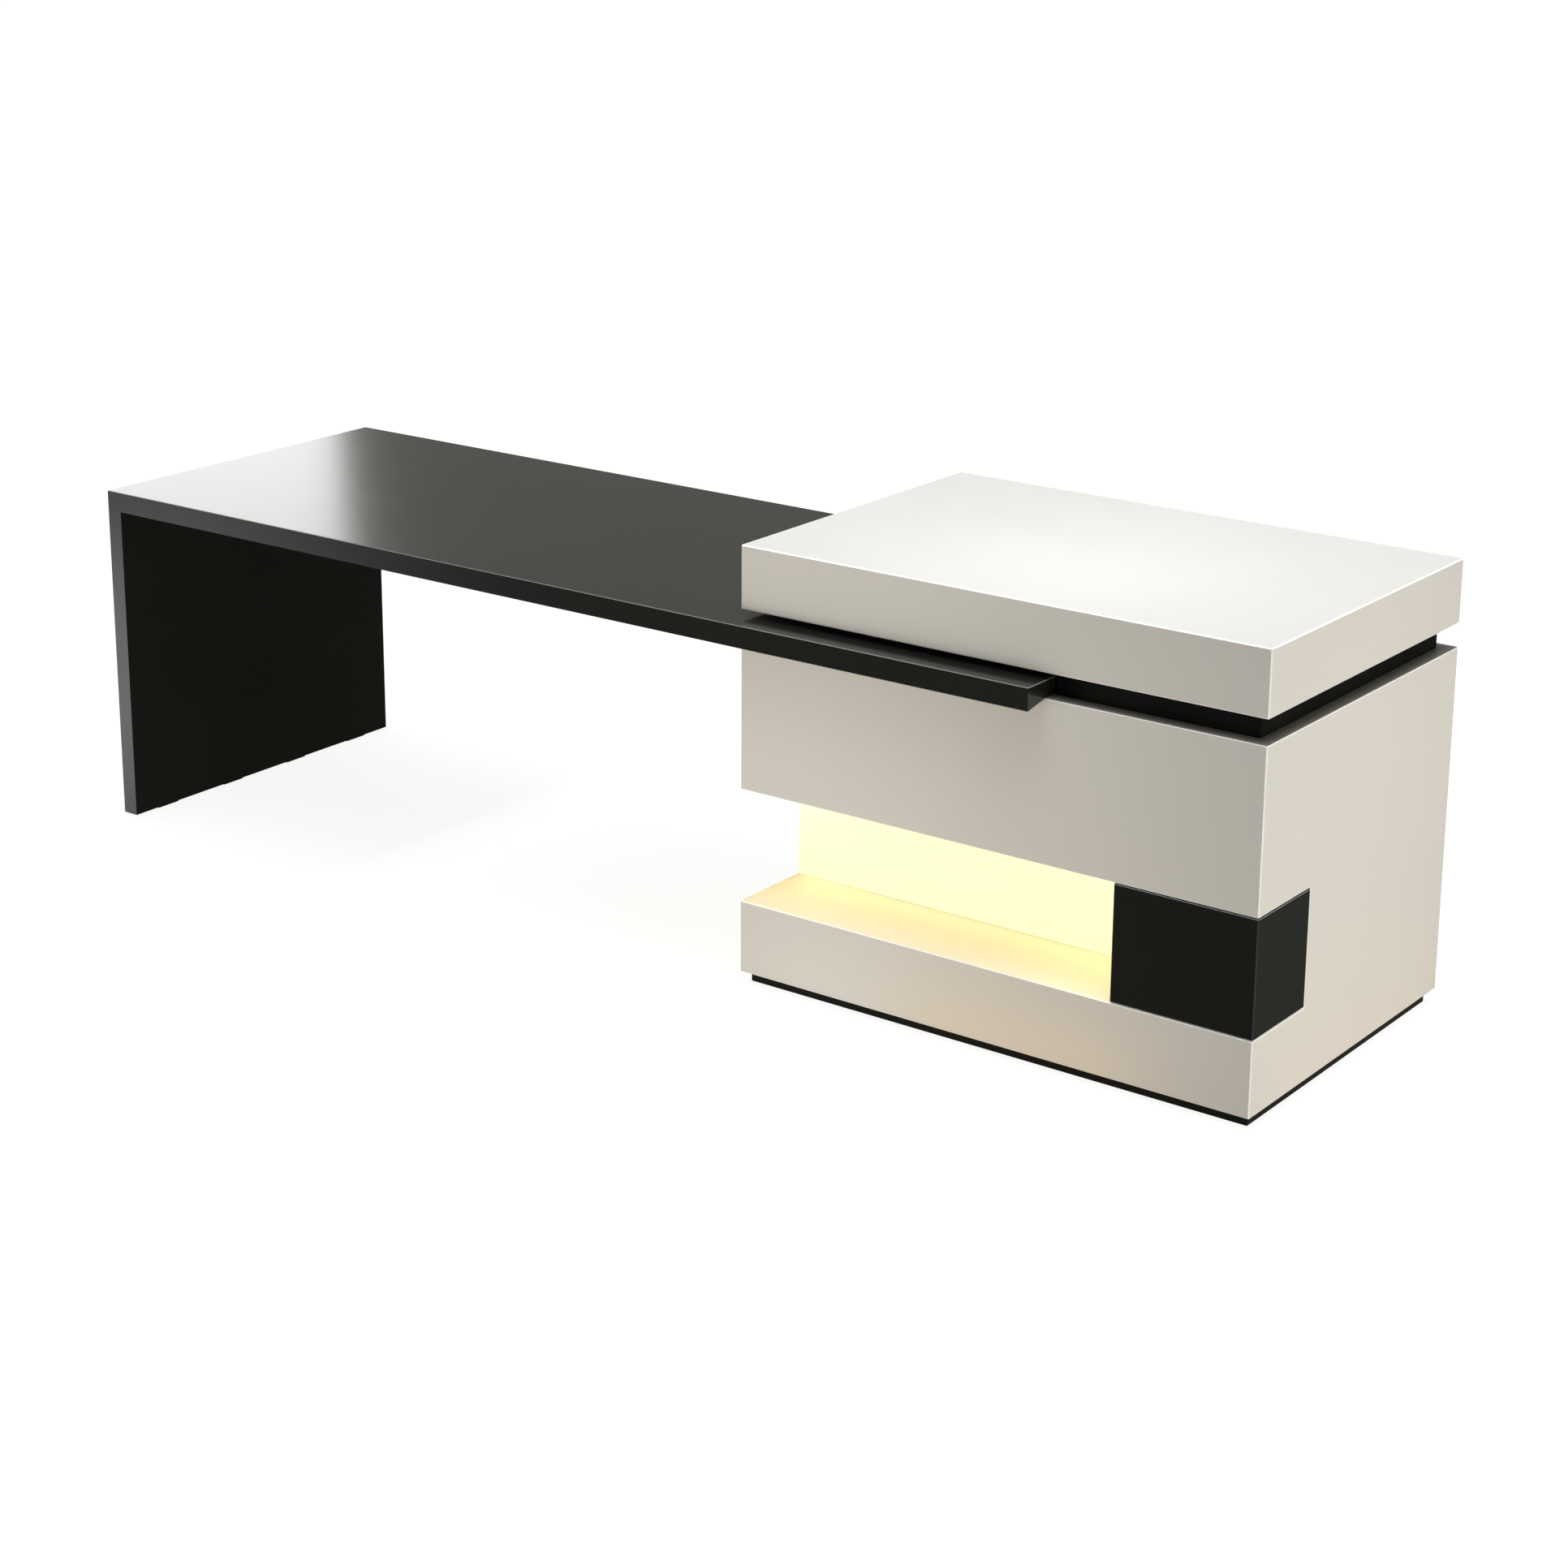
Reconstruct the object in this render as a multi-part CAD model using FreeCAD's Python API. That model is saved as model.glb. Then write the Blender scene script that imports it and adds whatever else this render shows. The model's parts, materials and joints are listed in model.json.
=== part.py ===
import FreeCAD, Part
import os
from FreeCAD import Vector

# A kitchen island with a sliding table. Sizes are in millimetres.
# X runs along the table towards the island, Y from the front to the rear, Z up.
# The origin is on the floor, under the middle of the whole object.

# Island: its outline, and the heights of its bands from the floor up
ISLAND_LENGTH = 1140.0
ISLAND_DEPTH = 760.0
PLINTH_HEIGHT = 24.0
LOWER_BOX_HEIGHT = 150.0
NICHE_HEIGHT = 232.0
UPPER_BOX_HEIGHT = 319.0
BLOCK_HEIGHT = 128.0
PLINTH_SETBACK = 21.0
PLINTH_END_SETBACK = 14.0
NECK_SETBACK = 30.0
NICHE_DEPTH = 194.0
CORNER_BOX_LENGTH = 295.0
REVEAL = 1.5

# Table: its reach past the island's left side, its lap over the island, and its boards
TABLE_REACH = 1722.0
TABLE_LAP = 690.0
TABLE_OVERHANG = 60.0
TABLE_SLAB = 30.0
APRON_HEIGHT = 15.0
APRON_CLEARANCE = 2.0
END_CLEARANCE = 4.0
LEG_THICKNESS = 40.0
TABLE_TRAVEL = 350.0
SLAB_LIFT = 4.0
BLOCK_GAP = 13.0
END_GAP = 3.0

# Boards and how their edges are finished
PANEL = 18.0
ARRIS = 2.4
FIT = 0.5
CLOSING_GAP = 1.0
SEWING_LIMIT = 1e-6

# Steel inside the neck and the block
TUBE = 40.0
TUBE_WALL = 3.0
TUBE_INSET = 120.0
TUBE_END_GAP = 22.0
BOLT_RADIUS = 5.0
BOLT_HEAD_RADIUS = 8.5
BOLT_HEAD_HEIGHT = 6.5
BOLT_HOLE_CLEARANCE = 0.2
BOLT_MARGIN = 60.0
NUT_RADIUS = 9.0
NUT_HEIGHT = 8.0
SPACER_RADIUS = 15.0
RIB_COUNT = 4

# Tracks let into the deck, and the shoes that run in them
TRACK_WIDTH = 30.0
TRACK_DEPTH = 10.0
TRACK_WALL = 2.2
TRACK_SLOT = 11.0
TRACK_INSET = 150.0
TRACK_MARGIN = 6.0
STOP_LENGTH = 8.0
STOP_GAP = 0.5
SHOE_LENGTH = 60.0
SHOE_END = 30.0
SHOE_FLANGE = 36.0
SHOE_CLEARANCE = 0.35
SHOE_LIFT = 0.6
BUMPER_RADIUS = 8.0
BUMPER_SPARE = 0.5

# Steel under the table, and what the leg stands on
STIFFENER_WIDTH = 40.0
STIFFENER_WALL = 1.5
STIFFENER_INSET = 250.0
BRACKET_LENGTH = 70.0
BRACKET_WIDTH = 60.0
BRACKET_THICKNESS = 4.0
BRACKET_INSET = 130.0
PAD_LENGTH = 60.0
PAD_WIDTH = 30.0
PAD_HEIGHT = 4.0
PAD_COUNT = 4

# Light box at the back of the niche
OPAL_THICKNESS = 4.0
TRAY_DEPTH = 22.0
TRAY_WALL = 2.0
STRIP_WIDTH = 10.0
STRIP_THICKNESS = 1.6
STRIP_COUNT = 3
DRIVER_LENGTH = 180.0
DRIVER_WIDTH = 46.0
DRIVER_HEIGHT = 30.0
DRIVER_CORNER = 3.0
GROMMET_BORE = 25.0
GROMMET_WALL = 4.5
GROMMET_FLANGE = 5.5
GROMMET_RIM = 3.0
GROMMET_MARGIN = 18.0
DRIVER_MARGIN = 30.0

# Rear: drawers above, doors below, and the finger channel between them
FINGER_GAP = 25.0
CHANNEL_HEIGHT = 60.0
CHANNEL_DEPTH = 26.0
CHANNEL_WALL = 2.0
FRONT_GAP = 2.0
DRAWER_SIDE = 15.0
DRAWER_FLOOR = 8.0
DRAWER_GROOVE = 6.0
DRAWER_FLOOR_LIFT = 12.0
DRAWER_CLEARANCE = 8.0
DRAWER_OVERRUN = 60.0
RUNNER_SPACE = 12.5
RUNNER_SPARE = 204.0
RUNNER_MARGIN = 5.0
RUNNER_LIFT = 34.0
RAIL_HEIGHT = 40.0
RAIL_DEPTH = 10.0
RAIL_WALL = 1.5
RAIL_LIP = 6.0
RAIL_CLEARANCE = 0.4
DOOR_FLOOR_GAP = 6.0
PIVOT_RADIUS = 4.0
PIVOT_CLEARANCE = 0.1
PIVOT_LENGTH = 16.0
PIVOT_PLATE = 4.0
PIVOT_PLATE_LENGTH = 28.0
PIVOT_GAP = 2.0

# Planes that the pieces share
LEFT = (TABLE_REACH - ISLAND_LENGTH) / 2
RIGHT = LEFT + ISLAND_LENGTH
MIDDLE = (LEFT + RIGHT) / 2
FRONT = (TABLE_OVERHANG - ISLAND_DEPTH) / 2
REAR = FRONT + ISLAND_DEPTH
LOWER_Z = PLINTH_HEIGHT
FLOOR_Z = LOWER_Z + LOWER_BOX_HEIGHT
CEILING_Z = FLOOR_Z + NICHE_HEIGHT
DECK_Z = CEILING_Z + UPPER_BOX_HEIGHT
SLAB_Z = DECK_Z + SLAB_LIFT
TABLE_Z = SLAB_Z + TABLE_SLAB
BLOCK_Z = TABLE_Z + BLOCK_GAP
TOP_Z = BLOCK_Z + BLOCK_HEIGHT

NICHE_Y = FRONT + NICHE_DEPTH
TRAY_Y = NICHE_Y + OPAL_THICKNESS
WALL_Y = TRAY_Y + TRAY_DEPTH
STORE_Y = WALL_Y + PANEL
FRONTS_Y = REAR - PANEL
CHANNEL_REAR = FRONTS_Y - CLOSING_GAP
CHANNEL_FRONT = CHANNEL_REAR - CHANNEL_DEPTH
CHANNEL_Z = CEILING_Z + PANEL / 2

TABLE_LEFT = LEFT - TABLE_REACH
TABLE_RIGHT = LEFT + TABLE_LAP
TABLE_FRONT = FRONT - TABLE_OVERHANG
APRON_Z = SLAB_Z - APRON_HEIGHT
APRON_WIDTH = TABLE_OVERHANG - APRON_CLEARANCE
APRON_LEFT = TABLE_LEFT + LEG_THICKNESS
FRAME_RIGHT = LEFT - END_CLEARANCE

NECK_LEFT = TABLE_RIGHT + END_GAP
NECK_RIGHT = RIGHT - NECK_SETBACK
TRACK_LEFT = LEFT + PANEL + TRACK_MARGIN
TRACK_RIGHT = NECK_LEFT - TRACK_MARGIN
TRACK_ROWS = (FRONT + TRACK_INSET, REAR - TRACK_INSET)
SHOE_STARTS = (TRACK_LEFT + STOP_LENGTH + STOP_GAP + TABLE_TRAVEL, TABLE_RIGHT - SHOE_END - SHOE_LENGTH)
TUBE_ROWS = (FRONT + TUBE_INSET, REAR - TUBE_INSET)
BOLT_COLUMNS = (NECK_LEFT + BOLT_MARGIN, (NECK_LEFT + NECK_RIGHT) / 2, NECK_RIGHT - BOLT_MARGIN)

BOX_LEFT = RIGHT - CORNER_BOX_LENGTH
BOX_Y = NICHE_Y - REVEAL
LIGHT_X = (LEFT + PANEL + FIT, BOX_LEFT + PANEL)

STORE_LEFT = LEFT + PANEL
STORE_RIGHT = MIDDLE - PANEL / 2
FRONTS_X = (STORE_LEFT + FRONT_GAP, MIDDLE - FRONT_GAP / 2)
DRAWER_Z = CHANNEL_Z + CHANNEL_HEIGHT / 2 + DRAWER_CLEARANCE
DRAWER_TOP = DECK_Z - PANEL - BOLT_HEAD_HEIGHT - DRAWER_CLEARANCE
RUNNER_REAR = CHANNEL_FRONT - RUNNER_MARGIN
RUNNER_LENGTH = ISLAND_DEPTH - 2 * PANEL - RUNNER_SPARE
RUNNER_Z = DRAWER_Z + RUNNER_LIFT
DRAWER_FRONT = FRONTS_Y - RUNNER_LENGTH - DRAWER_OVERRUN
DRAWER_X = (STORE_LEFT + RUNNER_SPACE, STORE_RIGHT - RUNNER_SPACE)

PIVOT_X = FRONTS_X[0] + PANEL / 2
PIVOT_Y = REAR - PANEL / 2
DOOR_Z = (LOWER_Z + DOOR_FLOOR_GAP, CHANNEL_Z - FINGER_GAP / 2)

MITRE = "mitre"
EASED = "eased"
PLAIN = "plain"


def box(x, y, z):
    """A plain block between three pairs of low and high values."""
    return Part.makeBox(x[1] - x[0], y[1] - y[0], z[1] - z[0], Vector(x[0], y[0], z[0]))


def rod(x, y, z, radius):
    """An upright cylinder between two heights."""
    return Part.makeCylinder(radius, z[1] - z[0], Vector(x, y, z[0]))


def prism(points, run):
    """A closed outline of vectors, drawn out along a vector."""
    return Part.Face(Part.makePolygon(points + points[:1])).extrude(run)


def mirrored(shape):
    """The same piece on the other side of the island's middle."""
    return shape.mirror(Vector(MIDDLE, 0, 0), Vector(1, 0, 0))


def rectangle(a, b):
    """The outline of a board, anticlockwise from its low corner: low b, high a, high b, low a."""
    return [(a[0], b[0]), (a[1], b[0]), (a[1], b[1]), (a[0], b[1])]


def placed(side, face, a, b, depth):
    """A point of a board that looks towards one side, at a depth behind its outer face."""
    if side == "front":
        return Vector(a, face + depth, b)
    if side == "rear":
        return Vector(a, face - depth, b)
    if side == "left":
        return Vector(face + depth, a, b)
    if side == "right":
        return Vector(face - depth, a, b)
    if side == "top":
        return Vector(a, b, face - depth)
    return Vector(a, b, face + depth)


def drawn_in(outline, amounts):
    """A square-cornered outline with each edge moved inwards by its own amount."""
    count = len(outline)
    steps = []
    for i in range(count):
        (a0, b0), (a1, b1) = outline[i], outline[(i + 1) % count]
        length = abs(a1 - a0) + abs(b1 - b0)
        steps.append(((b0 - b1) / length * amounts[i], (a1 - a0) / length * amounts[i]))
    return [(outline[i][0] + steps[i - 1][0] + steps[i][0], outline[i][1] + steps[i - 1][1] + steps[i][1])
            for i in range(count)]


def board(side, face, thickness, outline, finishes, mitre=None):
    """A board from its outer face inwards. Each edge is mitred, eased with a small bevel or plain.

    Two mitred boards share one bevel at their common corner. mitre is the depth of the 45 degree cut.
    """
    mitre = mitre or thickness
    half = ARRIS / 2
    levels = [(0.0, {MITRE: ARRIS, EASED: half, PLAIN: 0.0}),
              (half, {MITRE: half, EASED: 0.0, PLAIN: 0.0}),
              (mitre, {MITRE: mitre, EASED: 0.0, PLAIN: 0.0})]
    if mitre < thickness:
        levels.append((thickness, levels[-1][1]))
    rings = []
    for depth, amounts in levels:
        flat = drawn_in(outline, [amounts[finish] for finish in finishes])
        rings.append([placed(side, face, a, b, depth) for a, b in flat])
    loops = [rings[0], rings[-1]]
    for outer, inner in zip(rings, rings[1:]):
        for i in range(len(outer)):
            loops.append([outer[i - 1], outer[i], inner[i], inner[i - 1]])
    shell = Part.makeShell([Part.Face(Part.makePolygon(loop + loop[:1])) for loop in loops])
    shell.sewShape()
    solid = Part.makeSolid(shell)
    solid.fix(SEWING_LIMIT, SEWING_LIMIT, SEWING_LIMIT)
    if solid.Volume < 0:
        solid.reverse()
    return solid.removeSplitter()


def plinth_rails():
    """Four boards under the island, set back from its faces."""
    x = (LEFT + PLINTH_END_SETBACK, RIGHT - PLINTH_END_SETBACK)
    y = (FRONT + PLINTH_SETBACK, REAR - PLINTH_SETBACK)
    z = (0.0, LOWER_Z)
    inner = (y[0] + PANEL, y[1] - PANEL)
    return [box(x, (y[0], inner[0]), z),
            box(x, (inner[1], y[1]), z),
            box((x[0], x[0] + PANEL), inner, z),
            box((x[1] - PANEL, x[1]), inner, z)]


def base_board():
    """The island's floor, with a hole for the light's supply."""
    x = (LEFT + PANEL, RIGHT - PANEL)
    board_body = box(x, (FRONT + PANEL, CHANNEL_REAR), (LOWER_Z, LOWER_Z + PANEL))
    return board_body.cut(rod(*grommet_place(), (LOWER_Z, LOWER_Z + PANEL), GROMMET_BORE + GROMMET_WALL))


def grommet_place():
    """Where the supply comes up through the base board, at the front of the right cupboard."""
    reach = GROMMET_BORE + GROMMET_WALL + GROMMET_FLANGE + GROMMET_MARGIN
    return RIGHT - PANEL - reach, STORE_Y + reach


def cable_grommet():
    """A sleeve through the base board with a flange on top."""
    x, y = grommet_place()
    top = LOWER_Z + PANEL
    sleeve = rod(x, y, (LOWER_Z, top), GROMMET_BORE + GROMMET_WALL)
    flange = rod(x, y, (top, top + GROMMET_RIM), GROMMET_BORE + GROMMET_WALL + GROMMET_FLANGE)
    return sleeve.fuse(flange).cut(rod(x, y, (LOWER_Z, top + GROMMET_RIM), GROMMET_BORE)).removeSplitter()


def band_front(z, bottom):
    """A white front of one band, mitred to the boards that it meets."""
    outline = rectangle((LEFT, RIGHT), z)
    return board("front", FRONT, PANEL, outline, [bottom, MITRE, MITRE, MITRE])


def niche_board(side, face, depth_end):
    """The niche's floor or ceiling: full width in the niche, and between the sides behind it."""
    step = PANEL + FIT
    outline = [(LEFT, FRONT), (RIGHT, FRONT), (RIGHT, NICHE_Y), (RIGHT - step, NICHE_Y),
               (RIGHT - step, depth_end), (LEFT + step, depth_end), (LEFT + step, TRAY_Y), (LEFT, TRAY_Y)]
    finishes = [MITRE, MITRE, PLAIN, PLAIN, PLAIN, PLAIN, PLAIN, MITRE]
    return board(side, face, PANEL, outline, finishes)


def side_panel(cut_end):
    """The island's left side, cut out from the front where the niche comes through."""
    outline = [(FRONT, LOWER_Z), (REAR, LOWER_Z), (REAR, DECK_Z), (FRONT, DECK_Z),
               (FRONT, CEILING_Z), (cut_end, CEILING_Z), (cut_end, FLOOR_Z), (FRONT, FLOOR_Z)]
    finishes = [EASED, EASED, MITRE, MITRE, MITRE, EASED, MITRE, MITRE]
    return board("left", LEFT, PANEL, outline, finishes)


def deck():
    """The island's top under the block, grooved for the tracks and drilled for the bolts."""
    outline = rectangle((LEFT, RIGHT), (FRONT, REAR))
    body = board("top", DECK_Z, PANEL, outline, [MITRE, MITRE, EASED, MITRE])
    for y in TRACK_ROWS:
        groove = (y - TRACK_WIDTH / 2, y + TRACK_WIDTH / 2)
        body = body.cut(box((TRACK_LEFT, TRACK_RIGHT), groove, (DECK_Z - TRACK_DEPTH, DECK_Z)))
    return body.cut(bolt_holes((DECK_Z - PANEL, DECK_Z)))


def core_wall():
    """The wall behind the light box, in front of the cupboards."""
    return box((LEFT + PANEL, RIGHT - PANEL), (WALL_Y, STORE_Y), (LOWER_Z + PANEL, CEILING_Z))


def dividers():
    """The walls between the cupboards and between the drawers."""
    x = (MIDDLE - PANEL / 2, MIDDLE + PANEL / 2)
    lower = box(x, (STORE_Y, CHANNEL_FRONT), (LOWER_Z + PANEL, CEILING_Z))
    upper = box(x, (FRONT + PANEL, CHANNEL_FRONT), (CEILING_Z + PANEL, DECK_Z - PANEL))
    return lower, upper


def corner_box():
    """Front, side and inner boards of the dark box that closes the niche at the right."""
    z = (FLOOR_Z + REVEAL, CEILING_Z - REVEAL)
    front = board("front", FRONT, PANEL, rectangle((BOX_LEFT, RIGHT), z), [EASED, MITRE, EASED, MITRE])
    side = board("right", RIGHT, PANEL, rectangle((FRONT, BOX_Y), z), [EASED, EASED, EASED, MITRE])
    inner = board("left", BOX_LEFT, PANEL, rectangle((FRONT, BOX_Y), z), [EASED, EASED, EASED, MITRE])
    return front, side, inner


def corner_battens():
    """Two boards inside the dark box, screwed to the niche's floor and ceiling."""
    x = (BOX_LEFT + PANEL, RIGHT - PANEL)
    y = (FRONT + PANEL, NICHE_Y)
    return [box(x, y, (FLOOR_Z, FLOOR_Z + PANEL)), box(x, y, (CEILING_Z - PANEL, CEILING_Z))]


def light_panel():
    """The opal sheet that glows at the back of the niche, out over the left side's edge."""
    return box((LEFT + ARRIS / 2, LIGHT_X[1]), (NICHE_Y, TRAY_Y), (FLOOR_Z, CEILING_Z))


def light_tray():
    """A shallow metal tray behind the opal sheet, open towards it."""
    outer = box(LIGHT_X, (TRAY_Y, WALL_Y), (FLOOR_Z, CEILING_Z))
    x = (LIGHT_X[0] + TRAY_WALL, LIGHT_X[1] - TRAY_WALL)
    return outer.cut(box(x, (TRAY_Y, WALL_Y - TRAY_WALL), (FLOOR_Z + TRAY_WALL, CEILING_Z - TRAY_WALL)))


def light_strips():
    """Rows of light-emitting strip on the tray's floor."""
    x = (LIGHT_X[0] + STRIP_WIDTH, LIGHT_X[1] - STRIP_WIDTH)
    seat = WALL_Y - TRAY_WALL
    strips = []
    for row in range(STRIP_COUNT):
        z = FLOOR_Z + NICHE_HEIGHT * (row + 0.5) / STRIP_COUNT
        strips.append(box(x, (seat - STRIP_THICKNESS, seat), (z - STRIP_WIDTH / 2, z + STRIP_WIDTH / 2)))
    return strips


def light_driver():
    """The strips' supply, on the base board at the front of the right cupboard."""
    x = MIDDLE + PANEL / 2 + DRIVER_MARGIN
    seat = LOWER_Z + PANEL
    case = box((x, x + DRIVER_LENGTH), (STORE_Y, STORE_Y + DRIVER_WIDTH), (seat, seat + DRIVER_HEIGHT))
    upright = [edge for edge in case.Edges if abs(edge.tangentAt(edge.FirstParameter).z) > 0.9]
    return case.makeFillet(DRIVER_CORNER, upright)


def neck_boards():
    """Front, rear and the two ends of the dark neck that carries the block."""
    z = (DECK_Z, BLOCK_Z)
    x = (NECK_LEFT, NECK_RIGHT)
    y = (FRONT + NECK_SETBACK, REAR - NECK_SETBACK)
    finishes = [PLAIN, MITRE, PLAIN, MITRE]
    ends = [board("left", x[0], PANEL, rectangle(y, z), finishes),
            board("right", x[1], PANEL, rectangle(y, z), finishes)]
    return {"neck_front": [board("front", y[0], PANEL, rectangle(x, z), finishes)],
            "neck_rear": [board("rear", y[1], PANEL, rectangle(x, z), finishes)],
            "neck_ends": ends}


def bolt_places():
    """Where the block is bolted down, in plan."""
    return [(x, y) for x in BOLT_COLUMNS for y in TUBE_ROWS]


def bolt_holes(z):
    """The bolts' clearance holes between two heights."""
    radius = BOLT_RADIUS + BOLT_HOLE_CLEARANCE
    return Part.makeCompound([rod(x, y, z, radius) for x, y in bolt_places()])


def neck_spacers():
    """Tubes round the bolts, between the deck and the block."""
    z = (DECK_Z, BLOCK_Z)
    bore = BOLT_RADIUS + BOLT_HOLE_CLEARANCE
    return [rod(x, y, z, SPACER_RADIUS).cut(rod(x, y, z, bore)) for x, y in bolt_places()]


def block_bolts():
    """Bolts from under the deck up into the block's steel tubes."""
    seat = DECK_Z - PANEL
    top = BLOCK_Z + PANEL + TUBE_WALL + NUT_HEIGHT
    bolts = []
    for x, y in bolt_places():
        head = rod(x, y, (seat - BOLT_HEAD_HEIGHT, seat), BOLT_HEAD_RADIUS)
        bolts.append(head.fuse(rod(x, y, (seat, top), BOLT_RADIUS)).removeSplitter())
    return bolts


def block_nuts():
    """Six-sided nuts in the tubes, one on each bolt."""
    seat = BLOCK_Z + PANEL + TUBE_WALL
    nuts = []
    for x, y in bolt_places():
        corner = Vector(NUT_RADIUS, 0, 0)
        turns = [FreeCAD.Rotation(Vector(0, 0, 1), 60 * k) for k in range(6)]
        points = [Vector(x, y, seat) + turn.multVec(corner) for turn in turns]
        hole = rod(x, y, (seat, seat + NUT_HEIGHT), BOLT_RADIUS)
        nuts.append(prism(points, Vector(0, 0, NUT_HEIGHT)).cut(hole))
    return nuts


def block_boards():
    """Six mitred boards that make the thick white block."""
    z = (BLOCK_Z, TOP_Z)
    x = (LEFT, RIGHT)
    y = (FRONT, REAR)
    mitred = [MITRE] * 4
    bottom = board("bottom", BLOCK_Z, PANEL, rectangle(x, y), mitred)
    return {"block_top": [board("top", TOP_Z, PANEL, rectangle(x, y), mitred)],
            "block_bottom": [bottom.cut(bolt_holes((BLOCK_Z, BLOCK_Z + PANEL)))],
            "block_front": [board("front", FRONT, PANEL, rectangle(x, z), mitred)],
            "block_rear": [board("rear", REAR, PANEL, rectangle(x, z), mitred)],
            "block_left": [board("left", LEFT, PANEL, rectangle(y, z), mitred)],
            "block_right": [board("right", RIGHT, PANEL, rectangle(y, z), mitred)]}


def block_tubes():
    """Two steel tubes that carry the block out over the table."""
    x = (LEFT + PANEL + TUBE_END_GAP, RIGHT - PANEL - TUBE_END_GAP)
    seat = BLOCK_Z + PANEL
    tubes = []
    for y in TUBE_ROWS:
        outer = box(x, (y - TUBE / 2, y + TUBE / 2), (seat, seat + TUBE))
        inner_y = (y - TUBE / 2 + TUBE_WALL, y + TUBE / 2 - TUBE_WALL)
        inner = box(x, inner_y, (seat + TUBE_WALL, seat + TUBE - TUBE_WALL))
        tubes.append(outer.cut(inner).cut(bolt_holes((seat, seat + TUBE_WALL))))
    return tubes


def block_ribs():
    """Boards on edge across the tubes, under the block's top."""
    z = (BLOCK_Z + PANEL + TUBE, TOP_Z - PANEL)
    ribs = []
    for row in range(RIB_COUNT):
        x = LEFT + ISLAND_LENGTH * (row + 0.5) / RIB_COUNT
        ribs.append(box((x - PANEL / 2, x + PANEL / 2), (FRONT + PANEL, REAR - PANEL), z))
    return ribs


def track_outline(x, y, gap, top):
    """The T-shaped space in a track, drawn in by a gap all round, up to a height above the deck."""
    slot = TRACK_SLOT / 2 - gap
    room = TRACK_WIDTH / 2 - TRACK_WALL - gap
    ceiling = DECK_Z - TRACK_WALL - gap
    floor = DECK_Z - TRACK_DEPTH + TRACK_WALL + gap
    half = [(slot, top), (slot, ceiling), (room, ceiling), (room, floor)]
    other = [(-a, b) for a, b in reversed(half)]
    return [Vector(x, y + a, b) for a, b in half + other]


def tracks():
    """Metal tracks let into the deck, each with a T-shaped slot."""
    run = Vector(TRACK_RIGHT - TRACK_LEFT, 0, 0)
    bars = []
    for y in TRACK_ROWS:
        outer = box((TRACK_LEFT, TRACK_RIGHT), (y - TRACK_WIDTH / 2, y + TRACK_WIDTH / 2),
                    (DECK_Z - TRACK_DEPTH, DECK_Z))
        bars.append(outer.cut(prism(track_outline(TRACK_LEFT, y, 0.0, DECK_Z), run)))
    return bars


def track_stops():
    """Plugs that close the tracks' left ends and end the table's travel."""
    run = Vector(STOP_LENGTH, 0, 0)
    return [prism(track_outline(TRACK_LEFT, y, 0.0, DECK_Z), run) for y in TRACK_ROWS]


def slide_shoes():
    """Shoes under the table's slab: a T that runs in the track, and a flange against the slab."""
    run = Vector(SHOE_LENGTH, 0, 0)
    shoes = []
    for x in SHOE_STARTS:
        for y in TRACK_ROWS:
            foot = prism(track_outline(x, y, SHOE_CLEARANCE, SLAB_Z), run)
            flange = box((x, x + SHOE_LENGTH), (y - SHOE_FLANGE / 2, y + SHOE_FLANGE / 2),
                         (DECK_Z + SHOE_LIFT, SLAB_Z))
            shoes.append(foot.fuse(flange).removeSplitter())
    return shoes


def end_bumpers():
    """Soft buttons on the neck that the table's end comes home against."""
    z = (SLAB_Z + TABLE_Z) / 2
    length = END_GAP - BUMPER_SPARE
    places = [Vector(NECK_LEFT - length, y, z) for y in TRACK_ROWS]
    return [Part.makeCylinder(BUMPER_RADIUS, length, place, Vector(1, 0, 0)) for place in places]


def table_top():
    """The table's slab, mitred to its leg at the left end."""
    outline = rectangle((TABLE_LEFT, TABLE_RIGHT), (TABLE_FRONT, REAR))
    return board("top", TABLE_Z, TABLE_SLAB, outline, [EASED, EASED, EASED, MITRE])


def table_leg():
    """A full-depth panel under the table's left end, on pads."""
    outline = rectangle((TABLE_FRONT, REAR), (PAD_HEIGHT, TABLE_Z))
    return board("left", TABLE_LEFT, LEG_THICKNESS, outline, [EASED, EASED, MITRE, EASED], TABLE_SLAB)


def apron(face, inward, right_end):
    """A strip that makes the slab's edge look thicker. Its underside rises to the deck's level."""
    half = ARRIS / 2
    section = [(0.0, SLAB_Z), (0.0, APRON_Z + half), (half, APRON_Z),
               (APRON_WIDTH, DECK_Z), (APRON_WIDTH, SLAB_Z)]
    points = [Vector(APRON_LEFT, face + inward * depth, z) for depth, z in section]
    return prism(points, Vector(right_end - APRON_LEFT, 0, 0))


def table_front_apron():
    """The strip under the slab's front edge, which hangs in front of the island."""
    return apron(TABLE_FRONT, 1.0, TABLE_RIGHT)


def table_rear_apron():
    """The strip under the slab's rear edge, up to the island's side."""
    return apron(REAR, -1.0, FRAME_RIGHT)


def table_end_rib():
    """The strip across the slab's underside, beside the island."""
    y = (TABLE_FRONT + APRON_WIDTH, REAR - APRON_WIDTH)
    return box((FRAME_RIGHT - APRON_WIDTH, FRAME_RIGHT), y, (APRON_Z, SLAB_Z))


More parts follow.
